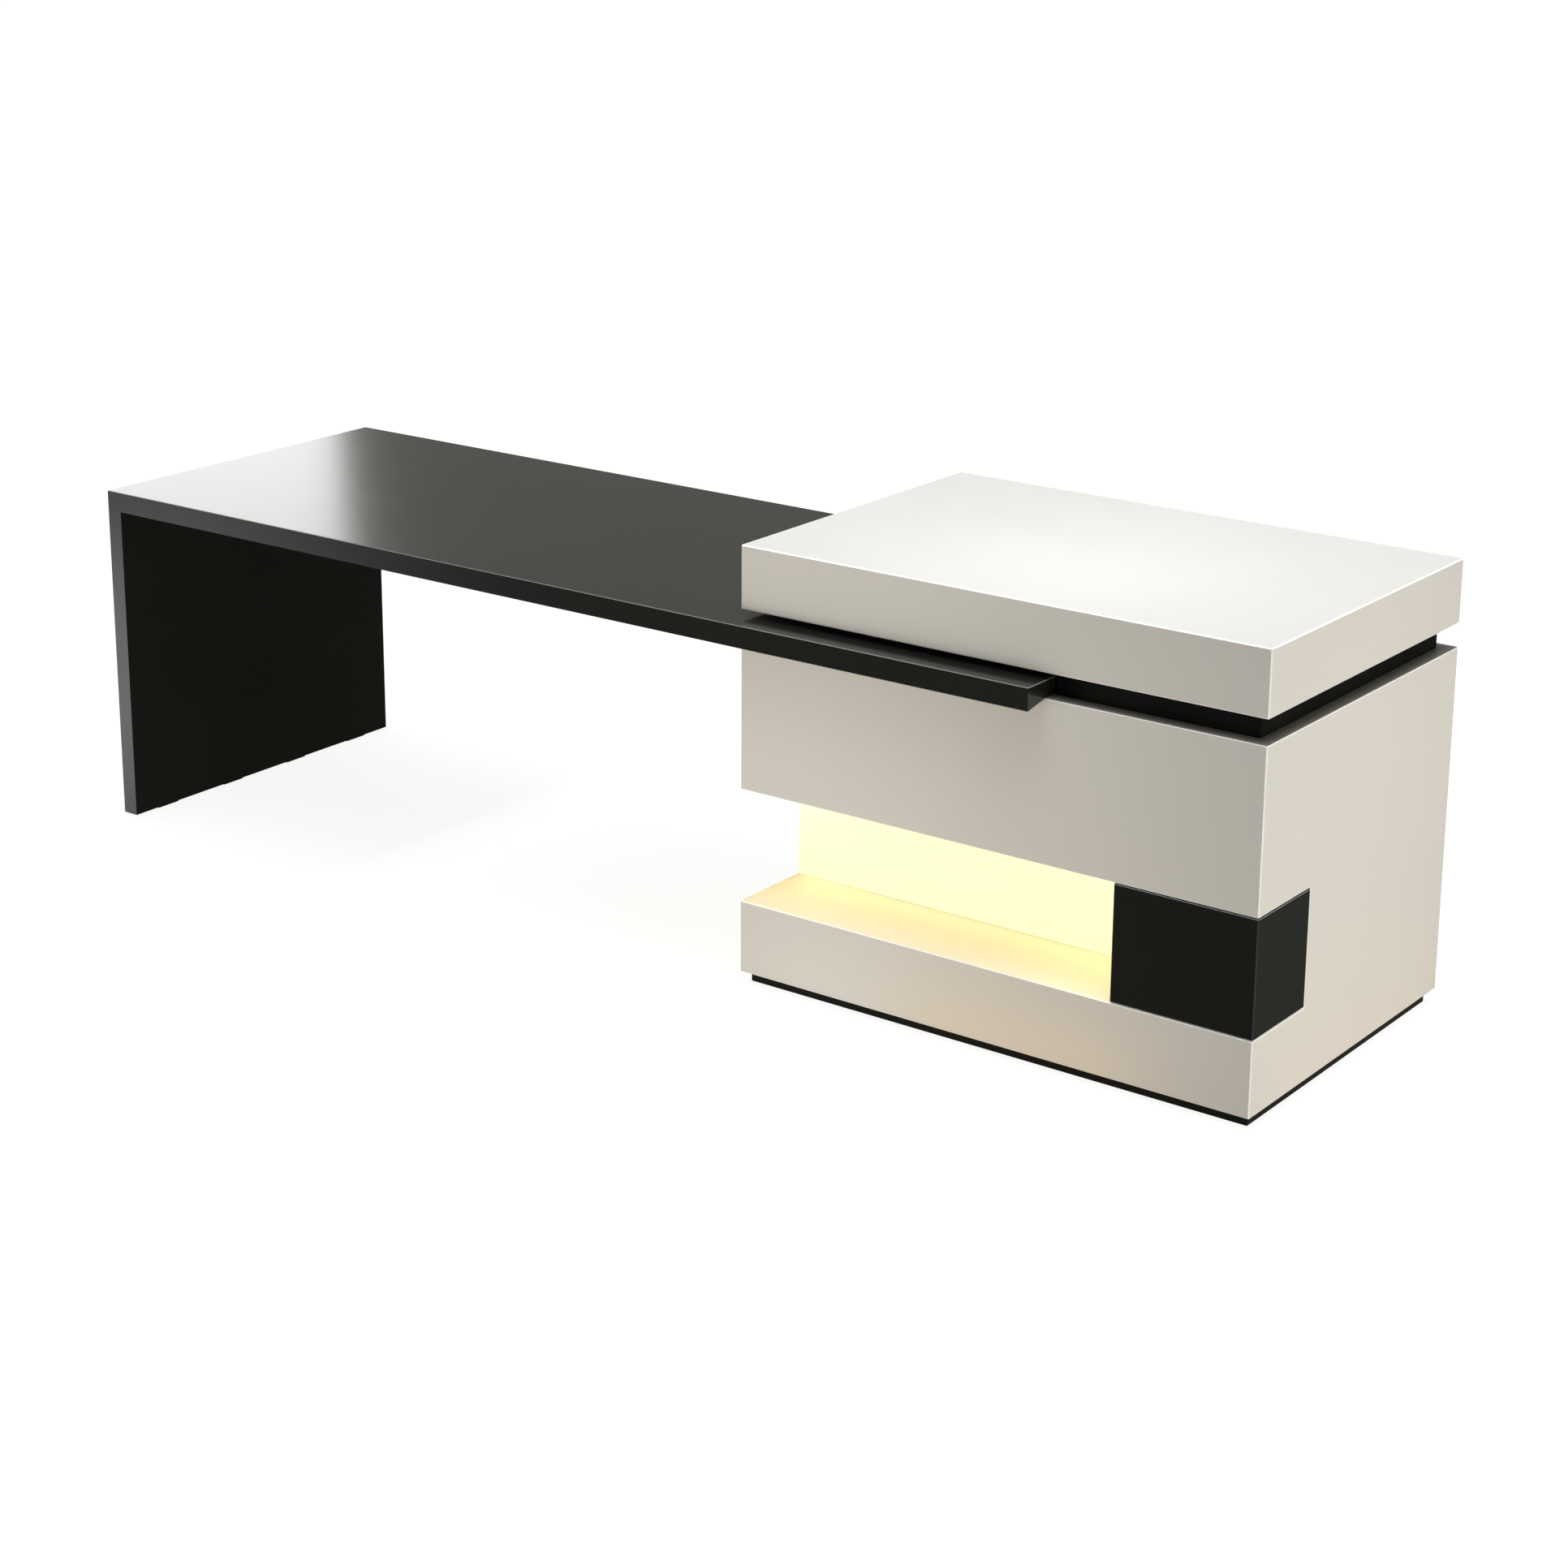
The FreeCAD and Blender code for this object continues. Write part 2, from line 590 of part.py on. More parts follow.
def table_stiffeners():
    """Two flat steel tubes under the slab's free length."""
    x = (APRON_LEFT + BRACKET_THICKNESS, FRAME_RIGHT - APRON_WIDTH)
    tubes = []
    for y in (FRONT + STIFFENER_INSET, REAR - STIFFENER_INSET):
        half = STIFFENER_WIDTH / 2
        outer = box(x, (y - half, y + half), (APRON_Z, SLAB_Z))
        inner_y = (y - half + STIFFENER_WALL, y + half - STIFFENER_WALL)
        tubes.append(outer.cut(box(x, inner_y, (APRON_Z + STIFFENER_WALL, SLAB_Z - STIFFENER_WALL))))
    return tubes


def corner_brackets():
    """Steel angles between the slab's underside and the leg."""
    x = (APRON_LEFT, APRON_LEFT + BRACKET_LENGTH)
    angles = []
    for y in (FRONT + BRACKET_INSET, REAR - BRACKET_INSET):
        width = (y - BRACKET_WIDTH / 2, y + BRACKET_WIDTH / 2)
        flat = box(x, width, (SLAB_Z - BRACKET_THICKNESS, SLAB_Z))
        upright = box((x[0], x[0] + BRACKET_THICKNESS), width, (SLAB_Z - BRACKET_LENGTH, SLAB_Z))
        angles.append(flat.fuse(upright).removeSplitter())
    return angles


def glide_pads():
    """Pads that the leg slides on."""
    x = TABLE_LEFT + (LEG_THICKNESS - PAD_WIDTH) / 2
    depth = REAR - TABLE_FRONT
    pads = []
    for row in range(PAD_COUNT):
        y = TABLE_FRONT + depth * (row + 0.5) / PAD_COUNT
        pads.append(box((x, x + PAD_WIDTH), (y - PAD_LENGTH / 2, y + PAD_LENGTH / 2), (0.0, PAD_HEIGHT)))
    return pads


def finger_channel():
    """The metal channel between the drawers and the doors, where a hand goes in."""
    x = (LEFT + PANEL, RIGHT - PANEL)
    z = (CHANNEL_Z - CHANNEL_HEIGHT / 2, CHANNEL_Z + CHANNEL_HEIGHT / 2)
    outer = box(x, (CHANNEL_FRONT, CHANNEL_REAR), z)
    inner_z = (z[0] + CHANNEL_WALL, z[1] - CHANNEL_WALL)
    return outer.cut(box(x, (CHANNEL_FRONT + CHANNEL_WALL, CHANNEL_REAR), inner_z))


def left_drawer_front():
    """A drawer's front, flush in the island's rear."""
    outline = rectangle(FRONTS_X, (CHANNEL_Z + FINGER_GAP / 2, DECK_Z - PANEL - FRONT_GAP))
    return board("rear", REAR, PANEL, outline, [EASED] * 4)


def left_drawer_box():
    """A drawer's two sides, grooved for its floor, and its back."""
    y = (DRAWER_FRONT, FRONTS_Y)
    z = (DRAWER_Z, DRAWER_TOP)
    inner = (DRAWER_X[0] + DRAWER_SIDE, DRAWER_X[1] - DRAWER_SIDE)
    floor = left_drawer_floor()
    back = box(inner, (y[0], y[0] + DRAWER_SIDE), z)
    sides = [box((DRAWER_X[0], inner[0]), y, z), box((inner[1], DRAWER_X[1]), y, z)]
    return [side.cut(floor) for side in sides] + [back.cut(floor)]


def left_drawer_floor():
    """A drawer's floor, let into its sides and back."""
    x = (DRAWER_X[0] + DRAWER_SIDE - DRAWER_GROOVE, DRAWER_X[1] - DRAWER_SIDE + DRAWER_GROOVE)
    y = (DRAWER_FRONT + DRAWER_SIDE - DRAWER_GROOVE, FRONTS_Y)
    z = DRAWER_Z + DRAWER_FLOOR_LIFT
    return box(x, y, (z, z + DRAWER_FLOOR))


def runner_bars(points):
    """A pair of bars on the two walls of a drawer's room, from a section off the wall and up."""
    run = Vector(0, RUNNER_LENGTH, 0)
    start = RUNNER_REAR - RUNNER_LENGTH
    left = prism([Vector(STORE_LEFT + a, start, RUNNER_Z + b) for a, b in points], run)
    right = prism([Vector(STORE_RIGHT - a, start, RUNNER_Z + b) for a, b in points], run)
    return [left, right]


def left_drawer_rails():
    """C-shaped rails on the walls."""
    half = RAIL_HEIGHT / 2
    lip = half - RAIL_LIP
    wall = RAIL_WALL
    upper = [(RAIL_DEPTH, lip), (RAIL_DEPTH, half), (0.0, half)]
    lower = [(0.0, -half), (RAIL_DEPTH, -half), (RAIL_DEPTH, -lip)]
    inner_low = [(RAIL_DEPTH - wall, -lip), (RAIL_DEPTH - wall, wall - half), (wall, wall - half)]
    inner_high = [(wall, half - wall), (RAIL_DEPTH - wall, half - wall), (RAIL_DEPTH - wall, lip)]
    return runner_bars(lower + inner_low + inner_high + upper)


def left_drawer_sliders():
    """T-shaped bars on the drawer's sides, held in the rails by their lips."""
    gap = RAIL_CLEARANCE
    near = RAIL_WALL + gap
    far = RAIL_DEPTH - RAIL_WALL - gap
    wide = RAIL_HEIGHT / 2 - RAIL_WALL - gap
    slim = RAIL_HEIGHT / 2 - RAIL_LIP - gap
    half = [(near, wide), (far, wide), (far, slim), (RUNNER_SPACE, slim)]
    return runner_bars(half + [(a, -b) for a, b in reversed(half)])


def left_door():
    """A door with a round hinge edge, bored for its pivots at the top and bottom."""
    outline = rectangle((PIVOT_X, FRONTS_X[1]), DOOR_Z)
    leaf = board("rear", REAR, PANEL, outline, [PLAIN, EASED, PLAIN, PLAIN])
    leaf = leaf.fuse(rod(PIVOT_X, PIVOT_Y, DOOR_Z, PANEL / 2)).removeSplitter()
    radius = PIVOT_RADIUS + PIVOT_CLEARANCE
    low = rod(PIVOT_X, PIVOT_Y, (DOOR_Z[0], DOOR_Z[0] + PIVOT_LENGTH), radius)
    high = rod(PIVOT_X, PIVOT_Y, (DOOR_Z[1] - PIVOT_LENGTH, DOOR_Z[1]), radius)
    return leaf.cut(low).cut(high)


def left_pivots():
    """Plates on the island's side with the pins that the door turns on."""
    x = (STORE_LEFT, STORE_LEFT + PIVOT_PLATE_LENGTH)
    y = (CHANNEL_REAR, REAR - ARRIS)
    reach = PIVOT_LENGTH - PIVOT_GAP
    low = DOOR_Z[0] - PIVOT_GAP
    high = DOOR_Z[1] + PIVOT_GAP
    lower_plate = box(x, y, (low - PIVOT_PLATE, low))
    upper_plate = box(x, y, (high, high + PIVOT_PLATE))
    lower_pin = rod(PIVOT_X, PIVOT_Y, (low, DOOR_Z[0] + reach), PIVOT_RADIUS)
    upper_pin = rod(PIVOT_X, PIVOT_Y, (DOOR_Z[1] - reach, high), PIVOT_RADIUS)
    return [lower_plate.fuse(lower_pin).removeSplitter(), upper_plate.fuse(upper_pin).removeSplitter()]


def island_pieces():
    """Everything that stands still."""
    lower_divider, upper_divider = dividers()
    corner_front, corner_side, corner_inner = corner_box()
    rails = left_drawer_rails()
    pivots = left_pivots()
    pieces = {
        "plinth_rails": plinth_rails(),
        "base_board": [base_board()],
        "cable_grommet": [cable_grommet()],
        "lower_front_panel": [band_front((LOWER_Z, FLOOR_Z), EASED)],
        "upper_front_panel": [band_front((CEILING_Z, DECK_Z), MITRE)],
        "niche_floor": [niche_board("top", FLOOR_Z, WALL_Y)],
        "niche_ceiling": [niche_board("bottom", CEILING_Z, CHANNEL_FRONT)],
        "left_side_panel": [side_panel(TRAY_Y)],
        "right_side_panel": [mirrored(side_panel(NICHE_Y))],
        "deck": [deck()],
        "core_wall": [core_wall()],
        "lower_divider": [lower_divider],
        "upper_divider": [upper_divider],
        "corner_box_front": [corner_front],
        "corner_box_side": [corner_side],
        "corner_box_inner": [corner_inner],
        "corner_box_battens": corner_battens(),
        "light_panel": [light_panel()],
        "light_tray": [light_tray()],
        "light_strips": light_strips(),
        "light_driver": [light_driver()],
        "neck_spacers": neck_spacers(),
        "block_bolts": block_bolts() + block_nuts(),
        "block_tubes": block_tubes(),
        "block_ribs": block_ribs(),
        "tracks": tracks(),
        "track_stops": track_stops(),
        "end_bumpers": end_bumpers(),
        "finger_channel": [finger_channel()],
        "drawer_rails": rails + [mirrored(rail) for rail in rails],
        "pivot_brackets": pivots + [mirrored(pivot) for pivot in pivots],
    }
    pieces.update(neck_boards())
    pieces.update(block_boards())
    return pieces


def table_pieces():
    """Everything that slides with the table."""
    return {
        "table_top": [table_top()],
        "table_leg": [table_leg()],
        "table_front_apron": [table_front_apron()],
        "table_rear_apron": [table_rear_apron()],
        "table_end_rib": [table_end_rib()],
        "table_stiffeners": table_stiffeners(),
        "corner_brackets": corner_brackets(),
        "slide_shoes": slide_shoes(),
        "glide_pads": glide_pads(),
    }


def storage_pieces():
    """The drawers and doors at the rear, each made for the left and mirrored to the right."""
    left = {
        "drawer_front": [left_drawer_front()],
        "drawer_box": left_drawer_box(),
        "drawer_floor": [left_drawer_floor()],
        "drawer_sliders": left_drawer_sliders(),
        "door": [left_door()],
    }
    pieces = {}
    for name, solids in left.items():
        pieces["left_" + name] = solids
        pieces["right_" + name] = [mirrored(solid) for solid in solids]
    return pieces


def main():
    os.makedirs("parts", exist_ok=True)
    for pieces in (island_pieces(), table_pieces(), storage_pieces()):
        for name, solids in pieces.items():
            shape = solids[0] if len(solids) == 1 else Part.makeCompound(solids)
            shape.exportStep("parts/" + name + ".step")


main()
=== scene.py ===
import json
import math

import bpy
import numpy as np
from mathutils import Matrix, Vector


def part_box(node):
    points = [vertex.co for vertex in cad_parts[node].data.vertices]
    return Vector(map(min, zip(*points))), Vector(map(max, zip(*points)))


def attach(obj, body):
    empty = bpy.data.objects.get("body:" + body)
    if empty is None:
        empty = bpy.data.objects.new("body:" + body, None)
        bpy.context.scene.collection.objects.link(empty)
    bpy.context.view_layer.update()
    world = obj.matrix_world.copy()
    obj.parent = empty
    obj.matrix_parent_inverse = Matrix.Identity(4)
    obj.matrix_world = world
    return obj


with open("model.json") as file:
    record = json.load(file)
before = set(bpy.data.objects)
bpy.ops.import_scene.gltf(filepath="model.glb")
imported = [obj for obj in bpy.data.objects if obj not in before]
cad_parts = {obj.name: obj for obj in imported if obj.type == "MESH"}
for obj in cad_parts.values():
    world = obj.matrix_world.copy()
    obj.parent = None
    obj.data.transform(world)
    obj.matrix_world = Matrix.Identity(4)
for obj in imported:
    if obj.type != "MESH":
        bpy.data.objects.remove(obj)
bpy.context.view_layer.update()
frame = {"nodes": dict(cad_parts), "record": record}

# The looks of the island with a sliding table. Everything is in metres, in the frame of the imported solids:
# X runs along the table towards the island, Y from the front to the rear, Z up.

MM = 0.001
TINY = 1e-6

# The camera stands where the photograph's edges put it, and the picture's middle lies below its axis.
PICTURE_PX = 1932
FOCAL_PX = 3900.0
AXIS_PX = 760.0
CAMERA_PLACE = (3.8348, -5.0088, 2.4371)
CAMERA_YAW = math.radians(-36.446)
CAMERA_PITCH = math.radians(16.019)
CAMERA_ROLL = math.radians(-0.365)
CAMERA_SIGHT = 200.0
SENSOR_MM = 36.0

# Colours of the finishes and of the niche's light, as linear red, green and blue
WARM_WHITE = (0.70, 0.665, 0.600)
# Painted highlight on the white lacquer's eased edges, paler than its faces
WHITE_EDGE_HIGHLIGHT = (0.96, 0.945, 0.90)
# Painted highlight on the black lacquer's eased edges, strongest where they look up
BLACK_EDGE_HIGHLIGHT = (0.22, 0.22, 0.21)
LIT_WARM = (0.72, 0.74, 0.40)
NICHE_LIGHT = (1.0, 0.81, 0.36)
FLOOR_PALE = (0.90, 0.89, 0.87)

# The largest part of a face's unit normal: below the first on an eased edge, above the second on a flat face
EASED_PART = 0.90
FLAT_PART = 0.97

# The lit sheet's bands: radians of their wave for each metre of height, and their tone between the strips
BAND_WAVE = 76.0
BAND_TONE = 0.96

# Three faces of the island, and the middle between its front and its rear
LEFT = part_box("upper_front_panel")[0].x
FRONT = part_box("upper_front_panel")[0].y
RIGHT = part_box("right_side_panel")[1].x
MIDDLE_DEPTH = 30.0 * MM

# Boards of the black slot that stand back in shadow gaps: sprayed dull, and painted a darker black as shade
SHADOW_GAP_BOARDS = ("neck_front", "neck_rear", "neck_ends")

# Sizes of the small fittings, the rings of points in a dot, and the number of ribs on the supply
SCREW_RADIUS = 3.6 * MM
SCREW_HEIGHT = 1.5 * MM
CAP_RADIUS = 7.0 * MM
CAP_HEIGHT = 0.9 * MM
DOT_RADIUS = 4.0 * MM
DOT_HEIGHT = 0.8 * MM
DOT_RINGS = 6
COOLING_RIB_RADIUS = 2.2 * MM
COOLING_RIB_HEIGHT = 1.5 * MM
COOLING_RIB_LENGTH = 28.0 * MM
COOLING_RIB_COUNT = 17

# Profiles of the fittings from the top to the base, as shares of the radius and of the height. A dot is a dome
# whose top is flat over a share of its radius.
HEAD_PROFILE = ((0.74, 1.0), (0.94, 0.7), (1.0, 0.3), (1.0, 0.0))
CAP_PROFILE = ((0.06, 0.5), (0.12, 1.0), (0.86, 1.0), (0.96, 0.75), (1.0, 0.35), (1.0, 0.0))
COOLING_RIB_PROFILE = ((0.45, 1.0), (0.80, 0.80), (1.0, 0.35), (1.0, 0.0))
DOT_LID = 0.15

# The plus-shaped recess in a screw's head, as shares of the head's radius, of the recess and of the height
RECESS_REACH = 0.60
RECESS_HALF_WIDTH = 0.17
RECESS_NARROWING = 0.6
RECESS_FLOOR = 0.35

# Thicknesses of the boards and plates that the fittings sit on
BRACKET_LEAF = 4.0 * MM
DRAWER_SIDE = 15.0 * MM

# How far the fittings' middles lie in from the edges of what carries them, how many screws a row has, and the
# depths at which the base board's caps lie
BRACKET_ENDS = (15.0 * MM, 45.0 * MM)
BRACKET_REACHES = (26.0 * MM, 55.0 * MM)
BRACKET_HEIGHTS = (15.0 * MM, 44.0 * MM)
STIFFENER_END = 100.0 * MM
STIFFENER_EDGE = 20.0 * MM
STIFFENER_SCREWS = 6
END_RIB_END = 60.0 * MM
END_RIB_SCREWS = 5
PIVOT_END = 22.0 * MM
BASE_CAP_END = 24.0 * MM
BASE_CAP_WALL = 15.0 * MM
BASE_CAP_ROWS = (80.0 * MM, 330.0 * MM)
DRAWER_CAP_RISE = 60.0 * MM
DRAWER_CAP_DROP = 40.0 * MM
DRAWER_CAP_FRONT = 26.0 * MM
DRAWER_CAP_SIDE = 42.0 * MM
DRAWER_DOT_EDGE = 5.0 * MM
DRAWER_DOT_END = 25.0 * MM
DOOR_DOT_EDGE = 6.0 * MM
DOOR_DOT_DROP = 6.0 * MM
DOOR_DOT_RISE = 1.0 * MM
COOLING_RIB_END = 22.0 * MM

# A round fitting's points lie at these turns. A facing gives the directions of its two sides and of its top.
TURN_STEPS = 24
TURN = np.linspace(0.0, 2.0 * math.pi, TURN_STEPS, endpoint=False)
FACINGS = {
    "up": ((1, 0, 0), (0, 1, 0), (0, 0, 1)),
    "down": ((1, 0, 0), (0, -1, 0), (0, 0, -1)),
    "right": ((0, 1, 0), (0, 0, 1), (1, 0, 0)),
    "left": ((0, -1, 0), (0, 0, 1), (-1, 0, 0)),
    "front": ((1, 0, 0), (0, 0, 1), (0, -1, 0)),
    "rear": ((-1, 0, 0), (0, 0, 1), (0, 1, 0)),
}

# Studio floors: rings of a radius and a height, how far they lie under the pads, their own glow and tone, and how
# many times lighter their palest patches are
SEEN_RINGS = ((0.02, 0.0), (52.0, 0.0), (57.0, 1.0), (60.0, 5.0), (60.0, 45.0))
SEEN_DROP = 0.5 * MM
SEEN_GLOW = (0.91, 0.908, 0.897)
SEEN_TONE = 0.14
BOUNCE_RINGS = ((0.02, 0.0), (60.0, 0.0))
BOUNCE_DROP = 1.0 * MM
BOUNCE_GLOW = (0.47, 0.445, 0.42)
BOUNCE_TONE = 0.10
FLOOR_PATCHES = 1.04

# The sky's glows: the direction of each one's middle, the power of its cosine, and its colour at the middle
SKY_GLOWS = {
    "overhead": ((0.0, 0.0, 1.0), 16.0, (9.3, 9.9, 10.7)),
    "wide overhead": ((0.0, 0.0, 1.0), 0.3, (0.16, 0.16, 0.15)),
    "behind the table": ((-0.57, 0.78, 0.26), 4.0, (0.12, 0.115, 0.10)),
    "mirrored in the leg's edge": ((-0.725, -0.624, -0.291), 700.0, (4.2, 4.3, 4.25)),
    "mirrored in the corner box": ((0.417, 0.83, -0.371), 400.0, (0.107, 0.102, 0.088)),
}
SKY_AROUND = (0.03, 0.03, 0.03)

# Lamps in the niche. The glow stands before the sheet and the wash hangs under the ceiling, both a gap away
# and a little shorter than the sheet. An end lamp hangs at each end. The lines lie behind the island's front.
LAMP_GAP = 2.0 * MM
LAMP_DEPTH = 120.0 * MM
GLOW_SHORTER = 30.0 * MM
GLOW_LOWER = 10.0 * MM
WASH_SHORTER = 50.0 * MM
WASH_LINE = 90.0 * MM
END_LINE = 80.0 * MM
END_HEIGHT = 380.0 * MM
END_WIDTH = 80.0 * MM
LEFT_END_INSET = 10.0 * MM
RIGHT_END_INSET = 40.0 * MM

# Strips of light near the floor: how far from the island, how high, the height they aim at, and how wide
STRIP_DISTANCE = 130.0 * MM
STRIP_HEIGHT = 10.0 * MM
STRIP_AIM = 100.0 * MM
STRIP_WIDTH = 30.0 * MM


def add_node(tree, kind, inputs=(), **settings):
    """Add a node. Inputs pair a socket's name or number with a plain value or another node's output."""
    made = tree.nodes.new("ShaderNode" + kind)
    for name, value in settings.items():
        setattr(made, name, value)
    for socket, value in inputs:
        if isinstance(value, bpy.types.NodeSocket):
            tree.links.new(value, made.inputs[socket])
        else:
            made.inputs[socket].default_value = value
    return made


class Finish:
    """A material in the making: one Principled shader, and nodes on Object coordinates that vary it."""

    def __init__(self, name, roughness, **constants):
        self.material = bpy.data.materials.new(name)
        self.material.use_nodes = True
        self.tree = self.material.node_tree
        self.shader = self.tree.nodes["Principled BSDF"]
        self.place = self.node("TexCoord").outputs["Object"]
        self.normal = None
        self.shader.inputs["Roughness"].default_value = roughness
        for socket, value in constants.items():
            self.shader.inputs[socket.replace("_", " ")].default_value = value

    def node(self, kind, inputs=(), **settings):
        """Add a node to the material."""
        return add_node(self.tree, kind, inputs, **settings)

    def spread(self, size, stretch=(1.0, 1.0, 1.0)):
        """Coordinates in which one unit is size metres, drawn out by stretch along each axis."""
        scale = tuple(1.0 / (size * part) for part in stretch)
        return self.node("Mapping", [("Vector", self.place), ("Scale", scale)]).outputs[0]

    def grain(self, size, stretch=(1.0, 1.0, 1.0), detail=2.0):
        """Cloudy values from 0 to 1 whose patches are about size metres across."""
        inputs = [("Vector", self.spread(size, stretch)), ("Scale", 1.0), ("Detail", detail)]
        return self.node("TexNoise", inputs).outputs[0]

    def cells(self, size):
        """A grey value of its own for each cell of about size metres."""
        inputs = [("Vector", self.spread(size)), ("Scale", 1.0)]
        colour = self.node("TexVoronoi", inputs).outputs["Color"]
        return self.node("SeparateColor", [(0, colour)]).outputs[0]

    def between(self, factor, low=0.0, high=1.0, start=0.3, end=0.7):
        """Values from low to high as the factor goes from start to end."""
        inputs = [("Value", factor), ("From Min", start), ("From Max", end), ("To Min", low), ("To Max", high)]
        return self.node("MapRange", inputs).outputs[0]

    def mixed(self, factor, first, second):
        """A colour between two others. A Mix node's colour sockets are 6 and 7, and its colour output is 2."""
        return self.node("Mix", [(0, factor), (6, first), (7, second)], data_type="RGBA").outputs[2]

    def tones(self, factor, dark, light, arris=None, others=1.0):
        """Colour the surface from dark to light by the factor, and paint a highlight colour on its eased edges.
        """
        colour = self.mixed(factor, (*dark, 1.0), (*light, 1.0))
        if arris is not None:
            colour = self.mixed(self.on_arris(others), colour, (*arris, 1.0))
        self.tree.links.new(colour, self.shader.inputs["Base Color"])

    def on_arris(self, others):
        """Where an edge highlight is painted: nought on faces along the axes, one on eased edges that look up, a
        share on other eased edges.
        """
        normal = self.node("TexCoord").outputs["Normal"]
        size = self.node("VectorMath", [(0, normal)], operation="ABSOLUTE").outputs[0]
        parts = self.node("SeparateXYZ", [(0, size)]).outputs
        pair = self.node("Math", [(0, parts[0]), (1, parts[1])], operation="MAXIMUM").outputs[0]
        largest = self.node("Math", [(0, pair), (1, parts[2])], operation="MAXIMUM").outputs[0]
        eased = self.between(largest, 1.0, 0.0, EASED_PART, FLAT_PART)
        upward = self.node("SeparateXYZ", [(0, normal)]).outputs["Z"]
        share = self.between(upward, others, 1.0)
        return self.node("Math", [(0, eased), (1, share)], operation="MULTIPLY").outputs[0]

    def sheen_range(self, factor, low, high):
        """Vary the roughness from low to high by the factor."""
        self.tree.links.new(self.between(factor, low, high), self.shader.inputs["Roughness"])

    def relief(self, height, depth):
        """Raise the surface by depth metres at most, on top of any relief before it."""
        inputs = [("Height", height), ("Distance", depth), ("Strength", 1.0)]
        if self.normal is not None:
            inputs.append(("Normal", self.normal))
        self.normal = self.node("Bump", inputs).outputs[0]
        self.tree.links.new(self.normal, self.shader.inputs["Normal"])


def shade(colour, share):
    """The colour made lighter or darker by the share."""
    return tuple(part * share for part in colour)


def white_lacquer():
    """Sprayed satin lacquer: a faint orange peel, slow changes of tone and of sheen, and a painted highlight on
    its eased edges.
    """
    finish = Finish("white_lacquer", 0.52, Specular_IOR_Level=0.25)
    slow = finish.between(finish.grain(0.45))
    finish.tones(slow, dark=shade(WARM_WHITE, 0.985), light=WARM_WHITE, arris=WHITE_EDGE_HIGHLIGHT)
    finish.sheen_range(finish.grain(0.11, detail=4.0), 0.48, 0.57)
    finish.relief(finish.grain(3.2 * MM, detail=1.0), 0.03 * MM)
    return finish.material


def black_lacquer():
    """Satin black lacquer: fine rubbed lines, a faint peel, and a painted highlight on its eased edges, strongest
    where they look up.
    """
    finish = Finish("black_lacquer", 0.15)
    slow = finish.between(finish.grain(0.3))
    rubbed = finish.grain(2.0 * MM, stretch=(60.0, 1.0, 1.0), detail=3.0)
    finish.tones(slow, dark=(0.0126, 0.0131, 0.0108), light=(0.0152, 0.0157, 0.0131),
                 arris=BLACK_EDGE_HIGHLIGHT, others=0.15)
    finish.sheen_range(finish.grain(0.14, detail=4.0), 0.145, 0.155)
    finish.relief(rubbed, 0.003 * MM)
    finish.relief(finish.grain(2.6 * MM, detail=1.0), 0.006 * MM)
    return finish.material


def shadow_black():
    """Dull black on the boards that stand back in the shadow gaps, painted darker than the lacquer as shade."""
    finish = Finish("shadow_black", 0.55, Specular_IOR_Level=0.15)
    slow = finish.between(finish.grain(0.2))
    finish.tones(slow, dark=(0.0060, 0.0062, 0.0050), light=(0.0092, 0.0094, 0.0080))
    finish.sheen_range(finish.grain(0.05, detail=3.0), 0.48, 0.62)
    finish.relief(finish.grain(1.2 * MM, detail=2.0), 0.02 * MM)
    return finish.material


def grey_deck():
    """Grey satin lacquer on the deck, a little rubbed along the way that the table slides."""
    finish = Finish("grey_deck", 0.42)
    rubbed = finish.grain(4.0 * MM, stretch=(50.0, 1.0, 1.0), detail=3.0)
    finish.tones(finish.between(rubbed), dark=(0.185, 0.176, 0.152), light=(0.215, 0.204, 0.177))
    finish.sheen_range(finish.grain(0.10, detail=3.0), 0.38, 0.48)
    finish.relief(finish.grain(2.4 * MM, detail=1.0), 0.02 * MM)
    return finish.material


def carcass_board():
    """Pale faced board with a fine pressed pore running along its length."""
    finish = Finish("carcass_board", 0.55)
    pores = finish.grain(1.1 * MM, stretch=(24.0, 1.0, 1.0), detail=3.0)
    finish.tones(finish.between(pores), dark=(0.60, 0.585, 0.545), light=(0.66, 0.645, 0.605))
    finish.sheen_range(finish.grain(0.06), 0.48, 0.62)
    finish.relief(pores, 0.04 * MM)
    return finish.material


def opal_sheet():
    """Lit opal sheet: warm, with a satin face. The strips behind it just show, as a cosine up its height."""
    finish = Finish("opal_sheet", 0.42, Emission_Strength=1.0)
    height = finish.node("SeparateXYZ", [(0, finish.place)]).outputs["Z"]
    turned = finish.node("Math", [(0, height), (1, BAND_WAVE)], operation="MULTIPLY").outputs[0]
    bands = finish.node("Math", [(0, turned)], operation="COSINE").outputs[0]
    banded = finish.between(bands, start=-1.0, end=1.0)
    glow = finish.mixed(banded, (*shade(LIT_WARM, BAND_TONE), 1.0), (*LIT_WARM, 1.0))
    finish.tree.links.new(glow, finish.shader.inputs["Emission Color"])
    finish.tones(finish.grain(0.02), dark=(0.48, 0.46, 0.38), light=(0.52, 0.50, 0.42))
    finish.relief(finish.grain(0.6 * MM, detail=1.0), 0.01 * MM)
    return finish.material


def light_emitter():
    """The lit face of the strips, with a chip every centimetre or so."""
    finish = Finish("light_emitter", 0.3, Emission_Color=(*LIT_WARM, 1.0), Emission_Strength=4.0)
    chips = finish.cells(10.0 * MM)
    finish.tones(chips, dark=(0.85, 0.70, 0.35), light=(0.95, 0.85, 0.55))
    finish.relief(chips, 0.2 * MM)
    return finish.material


